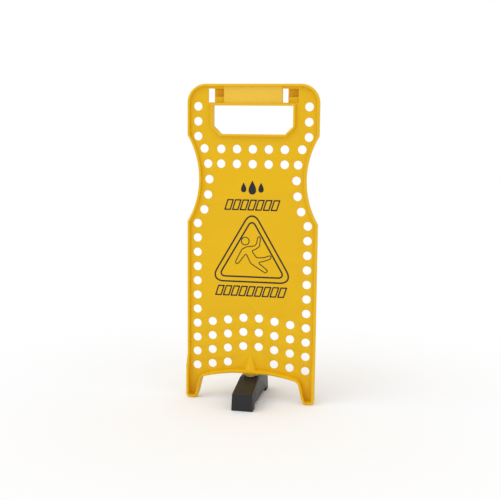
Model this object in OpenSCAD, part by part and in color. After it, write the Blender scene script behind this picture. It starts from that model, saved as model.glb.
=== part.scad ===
// Free-standing wet floor sign: one perforated moulded panel on two feet, with a
// black foot bar that swings on an upright pivot under the middle of the panel.
// Millimetres. +Z is up, the front faces -Y, the origin is on the floor under the pivot.

/* [Panel] */
// Overall height of the sign
panel_h = 650; // [540:1:780]
// Overall width of the panel
panel_w = 270; // [250:1:330]
// Thickness of the perforated sheet
sheet_t = 3; // [2:0.5:5]
// Width of the raised rim, seen from the front
rim_w = 5; // [4:0.5:7]
// Height of the rim in front of the sheet
rim_proud = 6.5; // [3:0.5:10]
// Radius of the two top corners
corner_r = 38; // [25:1:45]
// Height of the middle of the waist above the floor
waist_z = 459; // [440:1:480]
// Radius of the waist's edge
waist_r = 171; // [150:1:190]
// Depth of the waist's dip on each side
waist_dip = 24.4; // [12:0.5:28]

/* [Perforation] */
// Diameter of the round holes
hole_d = 17.4; // [12:0.2:20]
// Upward pitch of the holes
pitch_z = 30; // [28:0.5:32]
// Sideways pitch of the holes
pitch_x = 32.7; // [31:0.1:34]
// Distance from the panel's edge to the centres of the edge holes
hole_edge = 20.6; // [18:0.2:24]
// Height of the lowest hole of the side columns
column_z = 67; // [60:1:75]
// Holes in each lower side column
column_n = 11; // [6:1:11]
// Height of the lower block's outer columns above the arch's middle
block_clear = 7.6; // [6:0.2:12]
// Step in height from one column of the lower block to the next
block_rise = 5.1; // [0:0.1:8]
// Angle between neighbouring holes of the waist
waist_step = 9.5; // [8:0.1:10]

/* [Handle] */
// Width of the hand opening
grip_w = 164; // [120:1:170]
// Height of the hand opening
grip_h = 57; // [40:1:70]
// Height of material above the hand opening, which the hand closes round
grip_bar = 43; // [38:1:55]
// Chamfer of the opening's lower corners
grip_cut = 16; // [6:1:24]
// Wall of the collar round the opening
collar_w = 4.5; // [3:0.5:7]
// Reach of the collar behind the sheet
collar_back = 8.5; // [4:0.5:14]
// Thickness of the smooth pad on the front of the grip
grip_pad = 2.5; // [1:0.5:4]

/* [Hook windows] */
// Width of each window
window_w = 31.5; // [24:0.5:36]
// Height of each window
window_h = 27.5; // [20:0.5:30]
// Distance from the middle of the sign to a window's near edge
window_x = 60; // [50:1:64]
// Width of the open slot beside the hook
hook_gap = 8.5; // [6:0.5:14]
// Depth of the hook pocket behind the sheet
hook_depth = 14; // [8:1:20]
// Wall of the hook pocket
hook_wall = 2.5; // [2:0.5:4]

/* [Feet] */
// Depth of the panel's feet in front of the sheet
foot_proud = 17; // [12:0.5:24]
// Height where the rim has run back to its own depth
flare_top = 90; // [80:1:110]
// Height where the rim starts to run back
flare_start = 70; // [60:1:75]
// Height of the arch's middle above the foot bar
arch_clear = 9.4; // [6:0.2:16]
// Radius of the arch
arch_r = 380; // [330:5:600]
// Radius of the corner where the arch meets a foot
arch_corner = 12; // [6:1:16]
// Width of each foot at floor level
leg_w = 23.5; // [19:0.5:31]
// Lean of a foot's inner edge from upright, in degrees
leg_lean = 13; // [6:1:18]
// Chamfer of a foot's outer bottom corner
foot_cut = 5.5; // [2:0.5:8]

/* [Pivot] */
// Radius of the tapered boss where it meets the arch
boss_r = 15.5; // [14:0.5:18]
// Rise of the boss above the arch
boss_rise = 38.6; // [30:0.2:50]
// Radius of the pivot bolt's shoulder
shoulder_r = 5; // [4:0.25:6]
// Radius of the bolt's thread
thread_r = 4; // [3:0.25:4.5]
// Running gap between shoulder and bush, on the radius
running_gap = 0.05; // [0.02:0.01:0.1]
// Wall of the bush
bush_wall = 1.5; // [1:0.25:2.5]
// Thickness of the bush's flange
bush_flange = 1.5; // [1:0.25:2.5]
// Thickness of the wave washer between boss and bush
wave_t = 1.2; // [0.8:0.1:2]
// Length of the threaded insert in the boss
insert_len = 14; // [10:1:18]
// Wall of the threaded insert
insert_wall = 2; // [1.5:0.25:2.5]

/* [Foot bar] */
// Length of the foot bar
bar_l = 176; // [140:1:184]
// Width of the foot bar at the floor
bar_w = 44; // [36:1:52]
// Lean of the bar's long sides, in degrees
bar_draft = 2.5; // [1:0.5:6]
// Height of the bar's ends
bar_end_h = 35; // [28:1:40]
// Height of the bar's middle
bar_mid_h = 50; // [46:0.5:54]
// Length of the level top in the middle
bar_level = 28; // [24:1:44]
// Height of the bar's underside between its two pads
bar_lift = 9; // [6:0.5:12]
// Length of each floor pad
bar_pad = 24; // [16:1:32]
// Wall of the bar
bar_wall = 3; // [2:0.5:4]

/* [Hidden] */
$fn = 96;
eps = 0.01;
half_w = panel_w / 2;
face_y = -sheet_t / 2;
back_y = sheet_t / 2;
rim_y = face_y - rim_proud;
foot_y = face_y - foot_proud;
leg_x = half_w - leg_w;
arch_top = bar_mid_h + arch_clear;

// How far cuts and trimming shapes run past what they cut
over = 1;

// Waist: both edge and holes are arcs about the same centre
waist_cx = half_w - waist_dip + waist_r;
waist_hole_r = waist_r + hole_edge;

// Arch corner: the circle that touches both the arch and the leaning inner edge of a foot
arch_cz = arch_top - arch_r;
corner_a = leg_x - arch_corner / cos(leg_lean);
corner_m = tan(leg_lean);
corner_qa = 1 + corner_m * corner_m;
corner_qb = -2 * (corner_a * corner_m + arch_cz);
corner_qc = corner_a * corner_a + arch_cz * arch_cz - pow(arch_r - arch_corner, 2);
corner_z = (-corner_qb + sqrt(corner_qb * corner_qb - 4 * corner_qa * corner_qc)) / (2 * corner_qa);
corner_x = corner_a - corner_m * corner_z;

// Inner bottom corner of a foot
toe_dx = 3;
toe_h = 11;

// Handle opening and hook windows
grip_top = panel_h - grip_bar;
grip_low = grip_top - grip_h;
window_drop = 4.5;
window_top = panel_h - rim_w - window_drop;
window_low = window_top - window_h;
hook_nose_h = window_h * 0.42;
hook_nose_gap = 3;
hook_nose_in = 2;
pad_gap = 0.5;

// Top rows and columns of holes, placed down from the hand opening
row_drop = 25.6;
row_z = grip_low - collar_w - row_drop;
top_column_drop = 5;
top_column_z = grip_low - top_column_drop;
top_column_in = 0.8;
waist_hole_drop = 1;

// Pivot stack, from the boss's flat seat down
seat_z = bar_mid_h + wave_t + bush_flange;
bush_len = 14;
web_top = bar_mid_h;
web_low = web_top - bush_len;
washer_t = 1.6;
head_h = 5;
head_r = shoulder_r + 3;
socket_r = 3;
socket_depth = 3;
bush_r = shoulder_r + running_gap + bush_wall;
flange_r = bush_r + 3;
washer_r = bush_r + 2.95;
washer_gap = 0.5;
wave_gap = 0.4;
insert_r = thread_r + insert_wall;
axial_gap = 0.15;
shoulder_low = web_low - axial_gap;
boss_top = arch_top + boss_rise;
boss_tip_r = 1.5;
thread_short = 1;

// Foot bar: the ring of material round the pivot, the two slots beneath and the chamfered toes
hub_r = washer_r + 3.5;
bar_slot_side = bar_wall + 3;
bar_slot_end = 4;
bar_slot_gap = 3;
bar_toe = 2;

// Runs a front-view shape from one depth to another
module slab(y0, y1) {
    translate([0, y1, 0])
        rotate([90, 0, 0])
            linear_extrude(y1 - y0)
                children();
}

// The space under the arch, grown by d all round except at the floor
module arch_gap(d) {
    touch_x = corner_x + (arch_corner + d) * cos(leg_lean);
    touch_z = corner_z + (arch_corner + d) * sin(leg_lean);
    low_x = leg_x + d / cos(leg_lean) + corner_m * over;
    toe_low = leg_x + toe_dx + d + over * toe_dx / toe_h;
    toe_high = leg_x + d - corner_m * toe_h;
    wedge = 3;
    intersection() {
        translate([0, arch_cz])
            circle(r = arch_r + d, $fn = 360);
        polygon([[0, arch_cz], [corner_x * wedge, arch_cz + (corner_z - arch_cz) * wedge],
                 [-corner_x * wedge, arch_cz + (corner_z - arch_cz) * wedge]]);
        translate([-half_w, -over])
            square([panel_w, arch_top + d + 2 * over]);
    }
    polygon([[-low_x, -over], [low_x, -over], [touch_x, touch_z], [corner_x, corner_z],
             [-corner_x, corner_z], [-touch_x, touch_z]]);
    for (side = [-1, 1])
        translate([side * corner_x, corner_z])
            circle(r = arch_corner + d);
    polygon([[-toe_low, -over], [toe_low, -over], [toe_high, toe_h], [-toe_high, toe_h]]);
}

// The whole front outline, drawn in by d from every edge
module outline(d) {
    cut = foot_cut + over + d * sqrt(2);
    difference() {
        union() {
            translate([-half_w + d, d])
                square([panel_w - 2 * d, panel_h - corner_r - d]);
            for (side = [-1, 1])
                translate([side * (half_w - corner_r), panel_h - corner_r])
                    circle(r = corner_r - d);
            translate([-half_w + corner_r, d])
                square([panel_w - 2 * corner_r, panel_h - 2 * d]);
        }
        for (side = [-1, 1])
            translate([side * waist_cx, waist_z])
                circle(r = waist_r + d, $fn = 240);
        arch_gap(d);
        for (side = [-1, 1])
            polygon([[side * (half_w + over), -over], [side * (half_w + over), cut],
                     [side * (half_w - cut), -over]]);
    }
}

// A ring of the rim's width along the outline
module rim_outline() {
    difference() {
        outline(0);
        outline(rim_w);
    }
}

// Hand opening, grown by d
module grip_outline(d) {
    w = grip_w / 2 + d;
    c = grip_cut + d * (2 - sqrt(2));
    polygon([[-w, grip_top + d], [w, grip_top + d], [w, grip_low - d + c],
             [w - c, grip_low - d], [-w + c, grip_low - d], [-w, grip_low - d + c]]);
}

// Centre of every round hole on the right-hand half, the middle line included
function side_columns() =
    [for (i = [0 : column_n - 1]) [half_w - hole_edge, column_z + i * pitch_z]];
function waist_holes() =
    [for (i = [-2 : 2]) [waist_cx - waist_hole_r * cos(i * waist_step),
                         waist_z - waist_hole_drop + waist_hole_r * sin(i * waist_step)]];
function top_rows() =
    [for (row = [0, 1]) for (i = [0 : 2]) [i * pitch_x, row_z - row * pitch_z]];
function top_columns() =
    [for (i = [0 : 2]) [half_w - hole_edge - top_column_in, top_column_z + i * pitch_z]];
function lower_block() =
    [for (col = [0 : 2]) for (row = [0 : 3])
        if (col > 0 || row > 0)
            [(col + 0.5) * pitch_x, arch_top + block_clear + (3 - col) * block_rise + row * pitch_z]];
holes = concat(side_columns(), waist_holes(), top_rows(), top_columns(), lower_block());

module perforation() {
    for (h = holes)
        for (side = h[0] == 0 ? [1] : [-1, 1])
            translate([side * h[0], 0, h[1]])
                rotate([90, 0, 0])
                    cylinder(d = hole_d, h = sheet_t + 4 * over, center = true, $fn = 48);
}

// Side view of the foot's flare, wide enough to trim the whole lower rim
module flare() {
    rotate([90, 0, 90])
        translate([0, 0, -half_w - over])
            linear_extrude(panel_w + 2 * over)
                polygon([[back_y, 0], [foot_y, 0], [foot_y, flare_start], [rim_y, flare_top],
                         [back_y, flare_top]]);
}

// Pocket behind one window: a back wall, three sides, and a nose for the sign it hooks to
module hook(x0) {
    hook_x = x0 + hook_gap;
    difference() {
        translate([hook_x, back_y - eps, window_low - hook_wall])
            cube([window_w - hook_gap + hook_wall, hook_depth + hook_wall, window_h + 2 * hook_wall]);
        translate([hook_x - over, back_y - over, window_low])
            cube([window_w - hook_gap + over, hook_depth + over, window_h]);
    }
    translate([hook_x + hook_nose_gap, back_y + hook_nose_in, window_low])
        cube([window_w - hook_gap - hook_nose_gap, hook_depth - hook_nose_in + eps, hook_nose_h]);
}

module window(x0) {
    translate([x0, rim_y - over, window_low])
        cube([window_w, back_y - rim_y + 2 * over, window_h]);
}

module boss() {
    rotate_extrude()
        polygon([[0, seat_z], [boss_r, seat_z], [boss_r, arch_top], [boss_tip_r, boss_top],
                 [0, boss_top]]);
}

module panel() {
    color([0.93, 0.73, 0.12])
        difference() {
            union() {
                difference() {
                    slab(face_y, back_y)
                        outline(0);
                    perforation();
                }
                slab(rim_y, face_y + eps)
                    rim_outline();
                intersection() {
                    flare();
                    slab(foot_y, face_y + eps)
                        rim_outline();
                }
                slab(rim_y, back_y + collar_back)
                    grip_outline(collar_w);
                translate([-window_x + pad_gap, face_y - grip_pad, grip_top])
                    cube([2 * (window_x - pad_gap), grip_pad + eps, panel_h - rim_w - grip_top + eps]);
                boss();
                hook(-window_x - window_w);
                hook(window_x);
            }
            slab(rim_y - over, back_y + collar_back + over)
                grip_outline(0);
            window(-window_x - window_w);
            window(window_x);
            translate([0, 0, seat_z - over])
                cylinder(r = insert_r, h = insert_len + 2 * over);
        }
}

// Side view of the foot bar, drawn in by inset
module bar_profile(inset) {
    l = bar_l / 2 - inset;
    low = bar_lift + inset;
    pad = bar_l / 2 - bar_pad + inset;
    top = bar_mid_h - inset;
    end = bar_end_h - inset;
    level = bar_level / 2;
    polygon([[-pad, low], [pad, low], [pad, inset], [l - bar_toe, inset], [l, bar_toe + inset],
             [l, end], [level, top], [-level, top], [-l, end], [-l, bar_toe + inset],
             [bar_toe - l, inset], [-pad, inset]]);
}

// End view of the bar: its sides lean in towards the top
module bar_section(inset) {
    lean = tan(bar_draft) * bar_mid_h;
    w = bar_w / 2 - inset;
    polygon([[-w, -over], [w, -over], [w - lean, bar_mid_h + over], [-w + lean, bar_mid_h + over]]);
}

module bar_solid(inset) {
    intersection() {
        rotate([90, 0, 90])
            translate([0, 0, -bar_w])
                linear_extrude(2 * bar_w)
                    bar_profile(inset);
        rotate([90, 0, 0])
            translate([0, 0, -bar_l])
                linear_extrude(2 * bar_l)
                    bar_section(inset);
    }
}

module swing_foot() {
    slot_l = bar_l / 2 - bar_pad - bar_slot_end - hub_r - bar_slot_gap;
    color([0.13, 0.13, 0.13])
        difference() {
            bar_solid(0);
            difference() {
                bar_solid(bar_wall);
                translate([0, 0, -over])
                    cylinder(r = hub_r, h = bar_mid_h + 2 * over);
            }
            translate([0, 0, bar_lift - over])
                cylinder(r = washer_r + washer_gap, h = web_low - bar_lift + over);
            translate([0, 0, web_low - over])
                cylinder(r = bush_r, h = bush_len + 2 * over);
            for (slot_y = [-hub_r - bar_slot_gap - slot_l, hub_r + bar_slot_gap])
                translate([-bar_w / 2 + bar_slot_side, slot_y, bar_lift - over])
                    cube([bar_w - 2 * bar_slot_side, slot_l, bar_wall + 2 * over]);
        }
}

module pivot_bush() {
    color([0.92, 0.91, 0.86])
        difference() {
            union() {
                translate([0, 0, web_low])
                    cylinder(r = bush_r, h = bush_len);
                translate([0, 0, web_top])
                    cylinder(r = flange_r, h = bush_flange);
            }
            translate([0, 0, web_low - over])
                cylinder(r = shoulder_r + running_gap, h = bush_len + bush_flange + 2 * over);
        }
}

module wave_washer() {
    color([0.62, 0.63, 0.65])
        translate([0, 0, web_top + bush_flange])
            difference() {
                cylinder(r = flange_r, h = wave_t);
                translate([0, 0, -over])
                    cylinder(r = shoulder_r + wave_gap, h = wave_t + 2 * over);
            }
}

module threaded_insert() {
    color([0.78, 0.62, 0.3])
        translate([0, 0, seat_z])
            difference() {
                cylinder(r = insert_r, h = insert_len);
                translate([0, 0, -over])
                    cylinder(r = thread_r, h = insert_len + 2 * over);
            }
}

module pivot_bolt() {
    head_low = shoulder_low - washer_t - head_h;
    color([0.7, 0.71, 0.73])
        difference() {
            union() {
                translate([0, 0, head_low])
                    cylinder(r = head_r, h = head_h);
                translate([0, 0, head_low + head_h - eps])
                    cylinder(r = shoulder_r, h = seat_z - head_low - head_h + eps);
                translate([0, 0, seat_z - eps])
                    cylinder(r = thread_r, h = insert_len - thread_short + eps);
            }
            translate([0, 0, head_low - over])
                cylinder(r = socket_r, h = socket_depth + over, $fn = 6);
        }
}

module bolt_washer() {
    color([0.66, 0.67, 0.69])
        translate([0, 0, shoulder_low - washer_t])
            difference() {
                cylinder(r = washer_r, h = washer_t);
                translate([0, 0, -over])
                    cylinder(r = shoulder_r, h = washer_t + 2 * over);
            }
}

panel();
swing_foot();
pivot_bush();
wave_washer();
threaded_insert();
pivot_bolt();
bolt_washer();
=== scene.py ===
"""Looks of a free-standing wet floor sign: a perforated yellow panel on two feet and a black swing foot."""

import logging
import math
from dataclasses import dataclass, field
from enum import Enum

import bmesh
import bpy
from mathutils import Euler, Matrix, Vector


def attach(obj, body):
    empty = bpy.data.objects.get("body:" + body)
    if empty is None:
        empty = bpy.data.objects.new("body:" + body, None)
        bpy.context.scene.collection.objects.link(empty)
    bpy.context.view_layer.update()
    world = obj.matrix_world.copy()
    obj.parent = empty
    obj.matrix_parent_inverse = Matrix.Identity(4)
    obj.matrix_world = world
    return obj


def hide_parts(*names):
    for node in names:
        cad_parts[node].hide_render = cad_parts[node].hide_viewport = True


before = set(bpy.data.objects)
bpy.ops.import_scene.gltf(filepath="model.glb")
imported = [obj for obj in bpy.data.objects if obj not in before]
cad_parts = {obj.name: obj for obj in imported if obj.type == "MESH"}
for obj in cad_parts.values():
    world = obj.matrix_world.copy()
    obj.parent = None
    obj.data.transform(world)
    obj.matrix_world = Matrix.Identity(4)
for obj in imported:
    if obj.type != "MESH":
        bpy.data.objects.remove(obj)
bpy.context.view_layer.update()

LOG = logging.getLogger("floor_sign")
MM = 0.001
WHITE = (1.0, 1.0, 1.0, 1.0)
NOISE_ROUGHNESS = 0.55
NOISE_MEAN = 0.5
SHARP_JOIN_STEPS = 3

Colour = tuple[float, float, float, float]
Point = tuple[float, float]


# ---------------------------------------------------------------- shader maths


class Socket:
    """One shader value, with the arithmetic of Python."""

    def __init__(self, tree: "Tree", link: bpy.types.NodeSocket) -> None:
        """Wraps one output socket.

        Args:
            tree: The node tree that the socket is in.
            link: The output socket.
        """
        self.tree = tree
        self.link = link

    def _maths(self, operation: str, *values: "Socket | float") -> "Socket":
        """Adds one Math node."""
        return self.tree.add("ShaderNodeMath", {"operation": operation}, dict(enumerate(values)))

    def __add__(self, other: "Socket | float") -> "Socket":
        """Sum."""
        return self._maths("ADD", self, other)

    __radd__ = __add__

    def __sub__(self, other: "Socket | float") -> "Socket":
        """Difference."""
        return self._maths("SUBTRACT", self, other)

    def __rsub__(self, other: float) -> "Socket":
        """Difference from a number."""
        return self._maths("SUBTRACT", other, self)

    def __mul__(self, other: "Socket | float") -> "Socket":
        """Product."""
        return self._maths("MULTIPLY", self, other)

    __rmul__ = __mul__

    def clamped(self, low: float, high: float) -> "Socket":
        """Maps low..high to 0..1 and holds it there.

        Args:
            low: Value that becomes 0.
            high: Value that becomes 1.

        Returns:
            The mapped value.
        """
        limits = {0: self, 1: low, 2: high, 3: 0.0, 4: 1.0}
        return self.tree.add("ShaderNodeMapRange", {"clamp": True}, limits)


@dataclass(frozen=True)
class Pattern:
    """A noise of a real size.

    Attributes:
        per_mm: Grains in one millimetre.
        detail: Octaves.
        low: Value under which a patch of it has faded out.
        high: Value over which a patch of it is full.
        stretch: Scale of the pattern along each axis.
    """

    per_mm: float
    detail: float
    low: float = 0.0
    high: float = 1.0
    stretch: tuple[float, float, float] = (1.0, 1.0, 1.0)


CLOUDS = Pattern(0.02, 3.0, low=0.35, high=0.7)
GRAIN = Pattern(1.6, 2.0)
SCUFFS = Pattern(0.35, 4.0, low=0.56, high=0.7, stretch=(1.0, 1.0, 0.35))
SPECKLE = Pattern(1.2, 3.0, low=0.6, high=0.8)
TARNISH = Pattern(0.15, 3.0, low=0.5, high=0.75)
RING_STRETCH = (0.05, 0.05, 1.0)


class Tree:
    """The nodes of a material or a world, with one method that makes any of them."""

    def __init__(self, owner: bpy.types.Material | bpy.types.World, main: str) -> None:
        """Finds the nodes and the main shader.

        Args:
            owner: The material or world, just made.
            main: The name of the shader that it starts with.
        """
        owner.use_nodes = True
        self.nodes = owner.node_tree.nodes
        self.links = owner.node_tree.links
        self.shader = self.nodes[main]

    def put(self, node: bpy.types.Node, key: "str | int", value: object) -> None:
        """Links or sets one input of a node.

        Args:
            node: The node.
            key: The input's name or number.
            value: A Socket to link, or a plain value.
        """
        if isinstance(value, Socket):
            self.links.new(value.link, node.inputs[key])
        else:
            node.inputs[key].default_value = value

    def add(self, kind: str, settings: dict, values: dict, out: "str | int" = 0) -> Socket:
        """Makes one node.

        Args:
            kind: The node's type name.
            settings: Properties of the node, set before its sockets.
            values: Input name or number to a Socket or a plain value.
            out: The output that is returned.

        Returns:
            The chosen output.
        """
        node = self.nodes.new(kind)
        for key, value in settings.items():
            setattr(node, key, value)
        for key, value in values.items():
            self.put(node, key, value)
        return Socket(self, node.outputs[out])

    def place(self) -> Socket:
        """Gives the point of the object that is shaded."""
        return self.add("ShaderNodeTexCoord", {}, {}, "Object")

    def noise(self, pattern: Pattern) -> Socket:
        """Makes a noise.

        Args:
            pattern: Its size and stretch.

        Returns:
            Its value, about NOISE_MEAN on average.
        """
        place = self.add("ShaderNodeMapping", {}, {"Vector": self.place(), "Scale": pattern.stretch})
        size = {"Vector": place, "Scale": pattern.per_mm / MM, "Detail": pattern.detail}
        return self.add("ShaderNodeTexNoise", {}, {**size, "Roughness": NOISE_ROUGHNESS})

    def patches(self, pattern: Pattern) -> Socket:
        """Makes a noise that is 0 up to the pattern's low value and 1 from its high one."""
        return self.noise(pattern).clamped(pattern.low, pattern.high)

    def mix(self, amount: "Socket | float", first: object, second: object) -> Socket:
        """Mixes two colours.

        Args:
            amount: 0 gives the first colour, 1 the second.
            first: A colour or a Socket.
            second: A colour or a Socket.

        Returns:
            The mixed colour.
        """
        return self.add("ShaderNodeMix", {"data_type": "RGBA"}, {0: amount, 6: first, 7: second}, 2)

    def height(self) -> Socket:
        """Gives the height above the floor, in metres."""
        return self.add("ShaderNodeSeparateXYZ", {}, {0: self.place()}, "Z")

    def set(self, **inputs: object) -> None:
        """Sets or links inputs of the main shader, with _ for a space in their names."""
        for key, value in inputs.items():
            self.put(self.shader, key.replace("_", " "), value)

    def bump(self, value: Socket, depth_mm: float) -> None:
        """Turns a value into relief.

        Args:
            value: Height from 0 to 1.
            depth_mm: The relief's depth.
        """
        given = {"Height": value, "Strength": 1.0, "Distance": depth_mm * MM}
        self.set(Normal=self.add("ShaderNodeBump", {}, given))


def linear(red: int, green: int, blue: int) -> Colour:
    """Turns a display colour into the scene's linear one.

    Args:
        red: 0 to 255.
        green: 0 to 255.
        blue: 0 to 255.

    Returns:
        Linear red, green and blue, and an alpha of 1.
    """
    parts = [c / 255 for c in (red, green, blue)]
    flat = [c / 12.92 if c <= 0.04045 else ((c + 0.055) / 1.055) ** 2.4 for c in parts]
    return (*flat, 1.0)


# ---------------------------------------------------------------- finishes


def new_material(name: str) -> tuple[bpy.types.Material, Tree]:
    """Makes a material.

    Args:
        name: Its name.

    Returns:
        The material and its nodes.
    """
    material = bpy.data.materials.new(name)
    return material, Tree(material, "Principled BSDF")


@dataclass(frozen=True)
class MouldedPlastic:
    """Moulded plastic with a fine spark-eroded grain, faint flow clouds and floor scuffs.

    Attributes:
        name: The material's name.
        colour: Colour of the clean plastic.
        cloud: Colour of the flow clouds.
        scuff: Colour of the worn places near the floor.
        rough: Mean roughness.
        grain_mm: Depth of the mould's grain.
        scuff_top_mm: Height where the scuffs have faded out.
        gloss: Strength of its reflections.
        cloud_share: How much of the clouds' colour shows at their thickest.
        scuff_share: How much of the scuffs' colour shows at their strongest.
        grain_rough: How far the grain changes the roughness.
        scuff_rough: What a full scuff adds to the roughness.
    """

    name: str
    colour: Colour
    cloud: Colour
    scuff: Colour
    rough: float
    grain_mm: float
    scuff_top_mm: float
    gloss: float = 0.3
    cloud_share: float = 0.35
    scuff_share: float = 0.45
    grain_rough: float = 0.16
    scuff_rough: float = 0.2

    def make(self) -> bpy.types.Material:
        """Builds the material.

        Returns:
            The material.
        """
        material, tree = new_material(self.name)
        grain = tree.noise(GRAIN)
        low = 1 - tree.height().clamped(0.0, self.scuff_top_mm * MM)
        worn = low * low * tree.patches(SCUFFS)
        base = tree.mix(tree.patches(CLOUDS) * self.cloud_share, self.colour, self.cloud)
        tree.set(Base_Color=tree.mix(worn * self.scuff_share, base, self.scuff))
        tree.set(Roughness=self.rough + (grain - NOISE_MEAN) * self.grain_rough + worn * self.scuff_rough)
        tree.put(tree.shader, "Specular IOR Level", self.gloss)
        tree.bump(grain, self.grain_mm)
        return material


@dataclass(frozen=True)
class PrintedInk:
    """Screen-printed ink, a little duller than the plastic under it.

    Attributes:
        name: The material's name.
        colour: Colour of the ink.
        thin: Colour where the ink lies thin.
        rough: Mean roughness.
        relief_mm: Depth of the ink's unevenness.
        uneven: How far the unevenness changes the roughness.
    """

    name: str
    colour: Colour
    thin: Colour
    rough: float
    relief_mm: float = 0.02
    uneven: float = 0.2

    def make(self) -> bpy.types.Material:
        """Builds the material.

        Returns:
            The material.
        """
        material, tree = new_material(self.name)
        speckle = tree.noise(SPECKLE)
        tree.set(Base_Color=tree.mix(speckle.clamped(SPECKLE.low, SPECKLE.high), self.colour, self.thin))
        tree.set(Roughness=self.rough + (speckle - NOISE_MEAN) * self.uneven)
        tree.bump(speckle, self.relief_mm)
        return material


@dataclass(frozen=True)
class TurnedMetal:
    """Metal with fine rings from the lathe or the press.

    Attributes:
        name: The material's name.
        colour: Colour of the metal.
        stain: Colour of its faint tarnish.
        rough: Mean roughness.
        rings: Rings in one millimetre of height.
        relief_mm: Depth of the rings.
        tarnish_share: How much of the tarnish's colour shows at its strongest.
        ring_rough: How far the rings change the roughness.
        tarnish_rough: What full tarnish adds to the roughness.
    """

    name: str
    colour: Colour
    stain: Colour
    rough: float
    rings: float
    relief_mm: float = 0.02
    tarnish_share: float = 0.5
    ring_rough: float = 0.15
    tarnish_rough: float = 0.1

    def make(self) -> bpy.types.Material:
        """Builds the material.

        Returns:
            The material.
        """
        material, tree = new_material(self.name)
        lathe = tree.noise(Pattern(self.rings, 1.0, stretch=RING_STRETCH))
        tarnish = tree.patches(TARNISH)
        tree.set(Base_Color=tree.mix(tarnish * self.tarnish_share, self.colour, self.stain))
        rough = self.rough + (lathe - NOISE_MEAN) * self.ring_rough + tarnish * self.tarnish_rough
        tree.set(Roughness=rough, Metallic=1.0)
        tree.bump(lathe, self.relief_mm)
        return material


class Finish(Enum):
    """The finishes of the sign.

    None has the name of a material slot in the record, because the CAD nodes come in with plain
    materials of those names, and material() would give one of those.
    """

    YELLOW = MouldedPlastic(
        "moulded_yellow",
        linear(235, 186, 2),
        cloud=linear(230, 180, 1),
        scuff=linear(196, 148, 34),
        rough=0.42,
        grain_mm=0.012,
        scuff_top_mm=70,
        gloss=0.25,
    )
    PAD = MouldedPlastic(
        "smooth_yellow",
        linear(242, 196, 62),
        cloud=linear(238, 191, 56),
        scuff=linear(208, 160, 40),
        rough=0.34,
        grain_mm=0.008,
        scuff_top_mm=70,
    )
    BLACK = MouldedPlastic(
        "moulded_black",
        linear(32, 32, 34),
        cloud=linear(38, 38, 40),
        scuff=linear(70, 69, 68),
        rough=0.45,
        grain_mm=0.02,
        scuff_top_mm=60,
        gloss=0.35,
    )
    BUSH = MouldedPlastic(
        "moulded_white",
        linear(228, 226, 215),
        cloud=linear(218, 215, 200),
        scuff=linear(200, 196, 180),
        rough=0.35,
        grain_mm=0.01,
        scuff_top_mm=10,
    )
    INK = PrintedInk("black_ink", linear(7, 5, 8), linear(30, 24, 14), 0.5)
    SPRING = TurnedMetal("sprung_steel", linear(150, 150, 154), linear(110, 104, 96), 0.32, 4.0)
    BRASS = TurnedMetal("turned_brass", linear(214, 176, 98), linear(150, 112, 52), 0.28, 5.0)
    ZINC = TurnedMetal("plated_zinc", linear(196, 198, 202), linear(160, 162, 150), 0.26, 6.0)
    WASHER = TurnedMetal("pressed_steel", linear(180, 182, 186), linear(140, 138, 128), 0.3, 3.0)

    def material(self) -> bpy.types.Material:
        """Gives the finish's material, made once."""
        return bpy.data.materials.get(self.value.name) or self.value.make()


# ---------------------------------------------------------------- meshes


def new_object(name: str, work: bmesh.types.BMesh, finish: Finish, body: str) -> bpy.types.Object:
    """Turns a bmesh into a piece that rides on a body.

    Args:
        name: The piece's name.
        work: The mesh, which is freed.
        finish: The piece's finish.
        body: The CAD body that it moves with.

    Returns:
        The new object.
    """
    mesh = bpy.data.meshes.new(name)
    work.to_mesh(mesh)
    work.free()
    mesh.materials.append(finish.material())
    piece = bpy.data.objects.new(name, mesh)
    bpy.context.scene.collection.objects.link(piece)
    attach(piece, body)
    LOG.info("%s: %d faces", name, len(mesh.polygons))
    return piece


def shade_by_angle(piece: bpy.types.Object, angle: float) -> None:
    """Smooths the shading except across edges sharper than an angle.

    Args:
        piece: The object.
        angle: That angle, in radians.
    """
    work = bmesh.new()
    work.from_mesh(piece.data)
    for edge in work.edges:
        edge.smooth = len(edge.link_faces) == 2 and edge.calc_face_angle(math.pi) < angle
    for face in work.faces:
        face.smooth = True
    work.to_mesh(piece.data)
    work.free()


def thicken(work: bmesh.types.BMesh, depth: float) -> None:
    """Turns flat upright faces into closed shapes.

    Args:
        work: The mesh, which holds only those faces.
        depth: Where their other side lies, measured backwards in metres.
    """
    raised = bmesh.ops.extrude_face_region(work, geom=list(work.faces), use_keep_orig=True)
    moved = [v for v in raised["geom"] if isinstance(v, bmesh.types.BMVert)]
    bmesh.ops.translate(work, verts=moved, vec=(0, depth, 0))
    bmesh.ops.recalc_face_normals(work, faces=work.faces)


def keep_line(work: bmesh.types.BMesh, face: bmesh.types.BMFace, width: float) -> None:
    """Keeps only a line along the inside of a face's edge.

    Args:
        work: The mesh.
        face: The face.
        width: The line's width in metres.
    """
    face.normal_update()
    bmesh.ops.inset_region(work, faces=[face], thickness=width, use_boundary=True, use_even_offset=True)
    bmesh.ops.delete(work, geom=[face], context="FACES")


def round_edges(work: bmesh.types.BMesh, edges: list[bmesh.types.BMEdge], radius: float, steps: int) -> None:
    """Rounds edges of a mesh. Where radii of many segments meet, their join is an arc too.

    Args:
        work: The mesh.
        edges: The edges.
        radius: How far from each edge the rounding starts, in metres.
        steps: Its segments.
    """
    bmesh.ops.bevel(
        work, geom=edges, offset=radius, offset_type="OFFSET", affect="EDGES", segments=steps,
        profile=0.5, material=-1, clamp_overlap=False,
        miter_outer="ARC" if steps > SHARP_JOIN_STEPS else "SHARP",
    )


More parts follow.
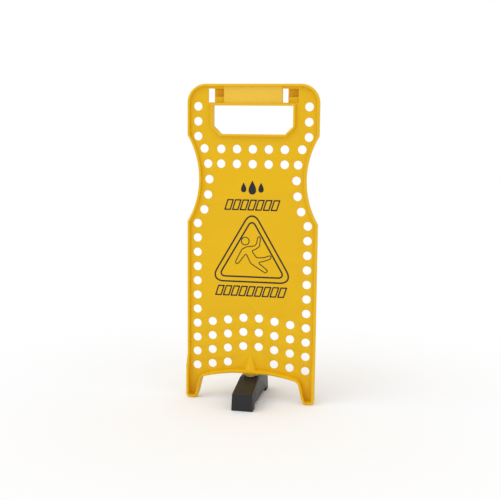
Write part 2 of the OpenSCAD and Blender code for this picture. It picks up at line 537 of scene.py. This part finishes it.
@dataclass
class Moulding:
    """A CAD shell rebuilt with the small radii that a mould leaves on every edge.

    Attributes:
        node: The CAD node.
        body: The body that it rides on.
        piece: The new piece's name.
        finish: Its finish.
        slot: Its material slot in the record; not used.
        edge: Radius of its sharp edges, in metres.
        steps: Segments of that radius.
        merge: Distance under which points of the copy become one.
        flat: Angle under which neighbouring faces become one, in radians.
        sharp: Least angle of an edge that is rounded.
        smooth: Greatest angle of an edge that is shaded smooth.
    """

    node: str
    body: str
    piece: str
    finish: Finish
    slot: str
    edge: float
    steps: int = 2
    merge: float = 0.02 * MM
    flat: float = math.radians(0.5)
    sharp: float = math.radians(25)
    smooth: float = math.radians(40)

    def solid(self) -> bmesh.types.BMesh:
        """Copies the CAD node's mesh, joins its triangles and flattens its plane faces.

        Returns:
            The cleaned mesh.
        """
        work = bmesh.new()
        work.from_mesh(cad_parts[self.node].data)
        bmesh.ops.remove_doubles(work, verts=work.verts, dist=self.merge)
        bmesh.ops.dissolve_degenerate(work, edges=work.edges, dist=self.merge)
        bmesh.ops.dissolve_limit(work, angle_limit=self.flat, verts=work.verts, edges=work.edges)
        return work

    def sharp_edges(self, work: bmesh.types.BMesh, least: float) -> list[bmesh.types.BMEdge]:
        """Finds the outward edges to round.

        Args:
            work: The mesh.
            least: The least angle between an edge's faces.

        Returns:
            The sharp edges. Inward corners are left out.
        """
        return [e for e in work.edges if e.is_manifold and e.calc_face_angle_signed(0.0) > least]

    def build(self) -> bpy.types.Object:
        """Builds the moulding and hides the CAD node that it stands for.

        Returns:
            The piece.
        """
        work = self.solid()
        self.shape(work)
        piece = new_object(self.piece, work, self.finish, self.body)
        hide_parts(self.node)
        shade_by_angle(piece, self.smooth)
        self.dress(piece)
        return piece

    def shape(self, work: bmesh.types.BMesh) -> None:
        """Rounds the sharp edges.

        Args:
            work: The mesh.
        """
        round_edges(work, self.sharp_edges(work, self.sharp), self.edge, self.steps)

    def dress(self, piece: bpy.types.Object) -> None:
        """Gives parts of the piece another finish. A plain moulding has none."""


@dataclass
class PanelShell(Moulding):
    """The panel's shell: a wide radius round its outside and round the hand opening, small ones elsewhere.

    Attributes:
        rim_front: Depth of the rim's front, in metres.
        sheet_back: Depth of the sheet's back.
        outer_radius: Radius round the outside of the rim.
        collar_radius: Radius round the front of the hand opening.
        collar_box: Lowest and highest corner of the hand opening with its collar, as x and z.
        pad_front: Depth of the smooth pad's front.
        pad_low: Height above which the pad lies.
        outer_steps: Segments of the radius round the outside.
        collar_steps: Segments of the radius round the hand opening.
        forwards: Least forward part of the normal of a face on the pad's front.
        near: How closely a depth has to match.
        rim_sharp: Least angle of an edge of the rim that is rounded.
        square: Least angle of any other edge that is rounded, more than the wide radius leaves.
    """

    rim_front: float = -8.0 * MM
    sheet_back: float = 1.5 * MM
    outer_radius: float = 3.6 * MM
    collar_radius: float = 1.6 * MM
    collar_box: tuple[Point, Point] = ((-0.09, 0.54), (0.09, 0.612))
    pad_front: float = -4.0 * MM
    pad_low: float = 606.0 * MM
    outer_steps: int = 4
    collar_steps: int = 3
    forwards: float = 0.9
    near: float = 0.05 * MM
    rim_sharp: float = math.radians(35)
    square: float = math.radians(50)

    def through_wall(self, edge: bmesh.types.BMEdge) -> bool:
        """Tells whether an edge is the front end of a wall that runs back through the sheet.

        Args:
            edge: The edge.

        Returns:
            Whether it is.
        """
        if any(v.co.y > self.rim_front + self.near for v in edge.verts):
            return False
        return any(v.co.y > self.sheet_back - self.near for f in edge.link_faces for v in f.verts)

    def in_collar(self, edge: bmesh.types.BMEdge) -> bool:
        """Tells whether an edge belongs to the hand opening.

        Args:
            edge: The edge.

        Returns:
            Whether it does.
        """
        (x0, z0), (x1, z1) = self.collar_box
        middle = (edge.verts[0].co + edge.verts[1].co) / 2
        return x0 < middle.x < x1 and z0 < middle.z < z1

    def shape(self, work: bmesh.types.BMesh) -> None:
        """Rounds the outside, then the hand opening, then every edge that is still sharp.

        Args:
            work: The mesh.
        """
        rim = [e for e in self.sharp_edges(work, self.rim_sharp) if self.through_wall(e)]
        round_edges(work, [e for e in rim if not self.in_collar(e)], self.outer_radius, self.outer_steps)
        walls = [e for e in self.sharp_edges(work, self.square) if self.through_wall(e)]
        round_edges(work, [e for e in walls if self.in_collar(e)], self.collar_radius, self.collar_steps)
        round_edges(work, self.sharp_edges(work, self.square), self.edge, self.steps)

    def dress(self, piece: bpy.types.Object) -> None:
        """Gives the grip's smooth pad its own finish.

        Args:
            piece: The panel's shell.
        """
        piece.data.materials.append(Finish.PAD.material())
        for face in piece.data.polygons:
            at_front = abs(face.center.y - self.pad_front) < 2 * self.near and -face.normal.y > self.forwards
            face.material_index = int(at_front and face.center.z > self.pad_low)


@dataclass
class Print:
    """Flat ink shapes on the front of the sheet.

    Attributes:
        body: The body that they ride on.
        front: Depth of the sheet's front, in metres.
        film: Thickness of the ink.
        sunk: Depth to which the ink keys into the sheet.
    """

    body: str = "sign"
    front: float = -1.5 * MM
    film: float = 0.12 * MM
    sunk: float = 0.05 * MM

    def outline(
        self, work: bmesh.types.BMesh, points: list[Point], radius: float = 0.0, steps: int = 1
    ) -> bmesh.types.BMFace:
        """Makes one flat face with rounded corners.

        Args:
            work: The mesh that it is made in.
            points: Its corners as x and z in millimetres, in order.
            radius: How far along its edges each corner is rounded, in millimetres.
            steps: Segments of each corner.

        Returns:
            The face.
        """
        corners = [work.verts.new((x * MM, self.front - self.film, z * MM)) for x, z in points]
        face = work.faces.new(corners)
        if radius:
            rounded = bmesh.ops.bevel(
                work, geom=corners, offset=radius * MM, offset_type="OFFSET", affect="VERTICES",
                segments=steps, profile=0.5, material=-1, clamp_overlap=True,
            )
            face = rounded["verts"][0].link_faces[0]
        return face

    def piece(self, name: str, work: bmesh.types.BMesh) -> None:
        """Gives the flat shapes the ink's thickness and makes them a piece.

        Args:
            name: The piece's name.
            work: The flat shapes.
        """
        thicken(work, self.film + self.sunk)
        new_object(name, work, Finish.INK, self.body)


@dataclass
class Symbol(Print):
    """A plain slipping figure in a double triangle.

    Attributes:
        apex: Height of the outer triangle's rounded tip, in millimetres.
        base: Height of its lower edge.
        half: Half of its width at the lower edge, before its corners are rounded.
        gap: Distance from the outer line's outside to the inner line's outside.
        border: Width of the triangles' lines.
        thin: Width of the figure's lines.
        head: Centre of the head.
        head_radius: Radius of the head.
        head_steps: Sides of the head's ring.
        limb_radius: How far along the body's outline its corners are rounded.
        limb_steps: Segments of such a corner.
        outer_corner: How far along its sides the outer triangle's corners are rounded.
        inner_corner: The same for the inner triangle.
        corner_steps: Segments of a triangle's corner.
    """

    apex: float = 402.0
    base: float = 247.0
    half: float = 90.0
    gap: float = 10.4
    border: float = 3.2
    thin: float = 1.9
    head: Point = (-13.7, 333.0)
    head_radius: float = 9.0
    head_steps: int = 32
    limb_radius: float = 2.6
    limb_steps: int = 4
    outer_corner: float = 31.0
    inner_corner: float = 17.0
    corner_steps: int = 12

    def triangle(self, name: str, inwards: float, radius: float) -> None:
        """Makes one rounded triangle of line.

        Args:
            name: The piece's name.
            inwards: Distance inside the outer triangle.
            radius: How far along its sides the corners are rounded.
        """
        side = math.hypot(self.half, self.apex - self.base)
        tip = self.apex - inwards * side / self.half
        low = self.base + inwards
        half = (tip - low) * self.half / (self.apex - self.base)
        work = bmesh.new()
        corners = [(-half, low), (half, low), (0.0, tip)]
        keep_line(work, self.outline(work, corners, radius, self.corner_steps), self.border * MM)
        self.piece(name, work)

    def figure(self) -> None:
        """Makes the slipping figure: a ring for its head and one line round its body."""
        work = bmesh.new()
        x, z = self.head
        turns = [math.tau * i / self.head_steps for i in range(self.head_steps)]
        ring = [(x + self.head_radius * math.cos(t), z + self.head_radius * math.sin(t)) for t in turns]
        keep_line(work, self.outline(work, ring), self.thin * MM)
        raised_arm = [(4, 324), (9, 328), (11, 341), (15, 345), (19, 341), (17, 322), (7, 315), (1, 313)]
        upper_leg = [(11, 300), (26, 301), (38, 306), (42.5, 301), (38, 296), (24, 291)]
        lower_leg = [(15, 289), (31, 277), (35, 272), (29, 267), (6, 281), (-3, 287)]
        low_arm = [(-12, 306), (-27, 286), (-33, 284), (-35, 290)]
        body = [(-21, 317), (-10, 322.5), *raised_arm, *upper_leg, *lower_leg, *low_arm]
        keep_line(work, self.outline(work, body, self.limb_radius, self.limb_steps), self.thin * MM)
        self.piece("symbol_figure", work)

    def build(self) -> None:
        """Builds the triangles and the figure."""
        self.triangle("symbol_border", 0.0, self.outer_corner)
        self.triangle("symbol_inner_border", self.gap, self.inner_corner)
        self.figure()


@dataclass
class Banner(Print):
    """A row of outlined slanting bars, where a sign of this kind carries a line of words.

    Attributes:
        name: The piece's name.
        left: Left end of the row, in millimetres.
        right: Right end of the row.
        low: Lower edge.
        high: Upper edge.
        count: Number of bars.
        space: Clear distance between bars.
        slant: How far a bar's top stands to the right of its foot.
        line_width: Width of the bars' outlines.
        corner: How far along its sides a bar's corners are rounded.
        corner_steps: Segments of such a corner.
    """

    name: str = "upper_bars"
    left: float = -58.5
    right: float = 58.5
    low: float = 396.0
    high: float = 418.4
    count: int = 7
    space: float = 2.2
    slant: float = 7.0
    line_width: float = 2.7
    corner: float = 1.2
    corner_steps: int = 3

    def build(self) -> None:
        """Builds the row."""
        work = bmesh.new()
        pitch = (self.right - self.left - self.slant + self.space) / self.count
        for i in range(self.count):
            x0 = self.left + i * pitch
            x1 = x0 + pitch - self.space
            feet = [(x0, self.low), (x1, self.low)]
            tops = [(x1 + self.slant, self.high), (x0 + self.slant, self.high)]
            bar = self.outline(work, feet + tops, self.corner, self.corner_steps)
            keep_line(work, bar, self.line_width * MM)
        self.piece(self.name, work)


@dataclass
class Drops(Print):
    """Three plain water drops.

    Attributes:
        middle: Height of the drops' middle, in millimetres.
        pitch: Distance between neighbouring drops.
        radii: About half of each drop's width, from left to right.
        width: Factor of the outline's width.
        length: Half of a drop's length as a multiple of its radius.
        taper: How quickly it narrows to its point.
        sides: Points of its outline.
    """

    middle: float = 443.0
    pitch: float = 18.0
    radii: tuple[float, float, float] = (6.0, 8.5, 6.0)
    width: float = 1.3
    length: float = 1.7
    taper: float = 1.4
    sides: int = 36

    def build(self) -> None:
        """Builds the drops."""
        work = bmesh.new()
        for i, radius in enumerate(self.radii):
            drop = []
            for k in range(self.sides):
                turn = math.tau * k / self.sides
                across = self.width * radius * math.sin(turn) * math.sin(turn / 2) ** self.taper
                up = self.length * radius * math.cos(turn)
                drop.append(((i - 1) * self.pitch + across, self.middle + up))
            self.outline(work, drop)
        self.piece("drops", work)


@dataclass
class MouldMarks:
    """Faint witness rings of the mould's ejector pins, on the back of the sheet.

    Attributes:
        body: The body that they ride on.
        back: Depth of the sheet's back, in metres.
        radius: Radius of a pin.
        height: How far a ring stands proud.
        line_width: Width of a ring's line.
        sides: Sides of a ring.
        places: Centres of the pins on the right-hand half, as x and z.
    """

    body: str = "sign"
    back: float = 1.5 * MM
    radius: float = 5.0 * MM
    height: float = 0.15 * MM
    line_width: float = 0.35 * MM
    sides: int = 32
    places: tuple[Point, ...] = ((0.045, 0.2), (0.06, 0.32), (0.045, 0.44), (0.118, 0.03))

    def build(self) -> None:
        """Builds the rings as one piece."""
        work = bmesh.new()
        for x, z in [(side * x, z) for x, z in self.places for side in (-1, 1)]:
            upright = Matrix.Rotation(-math.pi / 2, 4, "X")
            place = Matrix.Translation((x, self.back + self.height, z)) @ upright
            disc = bmesh.ops.create_circle(
                work, cap_ends=True, segments=self.sides, radius=self.radius, matrix=place
            )
            keep_line(work, disc["verts"][0].link_faces[0], self.line_width)
        thicken(work, -2 * self.height)
        new_object("mould_marks", work, Finish.YELLOW, self.body)


@dataclass
class Panel:
    """The yellow panel with its print.

    Attributes:
        body: The body that it rides on.
        edge: Radius of the moulding's small edges.
    """

    body: str = "sign"
    edge: float = 0.45 * MM

    def build(self) -> None:
        """Builds the shell, the print and the mould's marks."""
        PanelShell("panel", self.body, "panel_shell", Finish.YELLOW, "yellow_moulding", self.edge).build()
        Symbol(self.body).build()
        Banner(self.body).build()
        Banner(self.body, name="lower_bars", left=-77, right=75, low=218, high=240, count=9).build()
        Drops(self.body).build()
        MouldMarks(self.body).build()


@dataclass
class CrossFoot:
    """The black foot bar that turns under the panel.

    Attributes:
        body: The body that it rides on.
        edge: Radius of the moulding's sharp edges.
        steps: Segments of that radius.
    """

    body: str = "cross_foot"
    edge: float = 0.9 * MM
    steps: int = 3

    def build(self) -> None:
        """Builds the bar."""
        names = ("swing_foot", self.body, "foot_bar")
        Moulding(*names, Finish.BLACK, "black_moulding", self.edge, self.steps).build()


@dataclass
class Pivot:
    """The hardware that the foot bar turns on.

    Attributes:
        finishes: Finish of each CAD node.
    """

    finishes: dict[str, Finish] = field(
        default_factory=lambda: {
            "pivot_bush": Finish.BUSH,
            "wave_washer": Finish.SPRING,
            "threaded_insert": Finish.BRASS,
            "pivot_bolt": Finish.ZINC,
            "bolt_washer": Finish.WASHER,
        }
    )

    def build(self) -> None:
        """Dresses each CAD node."""
        for node, finish in self.finishes.items():
            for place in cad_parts[node].material_slots:
                place.material = finish.material()
            LOG.info("%s: dressed in %s", node, finish.value.name)


# ---------------------------------------------------------------- studio


@dataclass
class Studio:
    """A plain pale floor, soft light and the camera.

    Attributes:
        eye: Camera's place.
        yaw: Camera's turn to the left, in degrees.
        pitch: Camera's tilt below level, in degrees.
        roll: Camera's turn about its own axis, in degrees.
        lens: Focal length in millimetres.
        sensor: Width of the camera's sensor in millimetres.
        dome: Strength of the light from all round, next to the white that is seen.
        floor_size: Half of the floor's side, in metres.
        floor_paint: The floor's colour near the sign.
        floor_rough: Its roughness.
        shade_end: Distance from the sign where the floor starts to turn plain white.
        white_from: Distance from which it is plain white.
    """

    eye: Vector = field(default_factory=lambda: Vector((0.3544, -1.7916, 0.5677)))
    yaw: float = 11.31
    pitch: float = 7.885
    roll: float = 0.543
    lens: float = 64.8
    sensor: float = 36.0
    dome: float = 0.78
    floor_size: float = 12.0
    floor_paint: Colour = (0.96, 0.96, 0.96, 1.0)
    floor_rough: float = 0.9
    shade_end: float = 0.35
    white_from: float = 0.8

    def build(self) -> None:
        """Builds floor, light and camera."""
        self.floor()
        self.sky()
        self.lamp("key_light", Vector((-0.7, -0.55, 1.5)), spread=50.0, power=0.75)
        self.lamp("fill_light", Vector((1.2, -0.6, 0.9)), spread=70.0, power=0.2)
        self.camera()

    def floor(self) -> None:
        """Makes the floor."""
        work = bmesh.new()
        bmesh.ops.create_grid(work, x_segments=1, y_segments=1, size=self.floor_size)
        mesh = bpy.data.meshes.new("studio_floor")
        work.to_mesh(mesh)
        work.free()
        material, tree = new_material("studio_floor")
        tree.set(Base_Color=self.floor_paint, Roughness=self.floor_rough)
        tree.put(tree.shader, "Specular IOR Level", 0.0)
        away = tree.add("ShaderNodeVectorMath", {"operation": "LENGTH"}, {0: tree.place()}, "Value")
        glow = tree.add("ShaderNodeEmission", {}, {"Color": WHITE})
        plain = Socket(tree, tree.shader.outputs[0])
        white = away.clamped(self.shade_end, self.white_from)
        both = tree.add("ShaderNodeMixShader", {}, {0: white, 1: plain, 2: glow})
        tree.put(tree.nodes["Material Output"], "Surface", both)
        mesh.materials.append(material)
        floor = bpy.data.objects.new("studio_floor", mesh)
        bpy.context.scene.collection.objects.link(floor)

    def sky(self) -> None:
        """Makes an even surround that is seen white and lights a little less."""
        world = bpy.data.worlds.new("surround")
        tree = Tree(world, "Background")
        tree.set(Color=WHITE, Strength=self.dome)
        light = Socket(tree, tree.shader.outputs[0])
        seen = tree.add("ShaderNodeBackground", {}, {"Color": WHITE})
        ray = tree.add("ShaderNodeLightPath", {}, {}, "Is Camera Ray")
        both = tree.add("ShaderNodeMixShader", {}, {0: ray, 1: light, 2: seen})
        tree.put(tree.nodes["World Output"], "Surface", both)
        bpy.context.scene.world = world

    def lamp(self, name: str, source: Vector, spread: float, power: float) -> None:
        """Adds one soft, far lamp.

        Args:
            name: The lamp's name.
            source: Direction that its light comes from.
            spread: How wide the lamp looks from the sign, in degrees.
            power: Its strength.
        """
        data = bpy.data.lights.new(name, "SUN")
        data.angle, data.energy = math.radians(spread), power
        lamp = bpy.data.objects.new(name, data)
        lamp.rotation_mode = "QUATERNION"
        lamp.rotation_quaternion = (-source).to_track_quat("-Z", "Y")
        bpy.context.scene.collection.objects.link(lamp)

    def camera(self) -> None:
        """Adds the camera and shows its picture with plain display colours."""
        data = bpy.data.cameras.new("camera")
        data.lens, data.sensor_width = self.lens, self.sensor
        camera = bpy.data.objects.new("camera", data)
        aim = Euler((math.radians(90 - self.pitch), 0, math.radians(self.yaw))).to_matrix()
        turn = aim @ Matrix.Rotation(math.radians(self.roll), 3, "Z")
        camera.matrix_world = Matrix.Translation(self.eye) @ turn.to_4x4()
        bpy.context.scene.collection.objects.link(camera)
        bpy.context.scene.camera = camera
        bpy.context.scene.view_settings.view_transform = "Standard"


def main() -> None:
    """Builds the sign and its studio."""
    logging.basicConfig(level=logging.INFO, format="%(name)s %(message)s")
    Studio().build()
    Panel().build()
    CrossFoot().build()
    Pivot().build()
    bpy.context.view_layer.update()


if __name__ == "__main__":
    main()
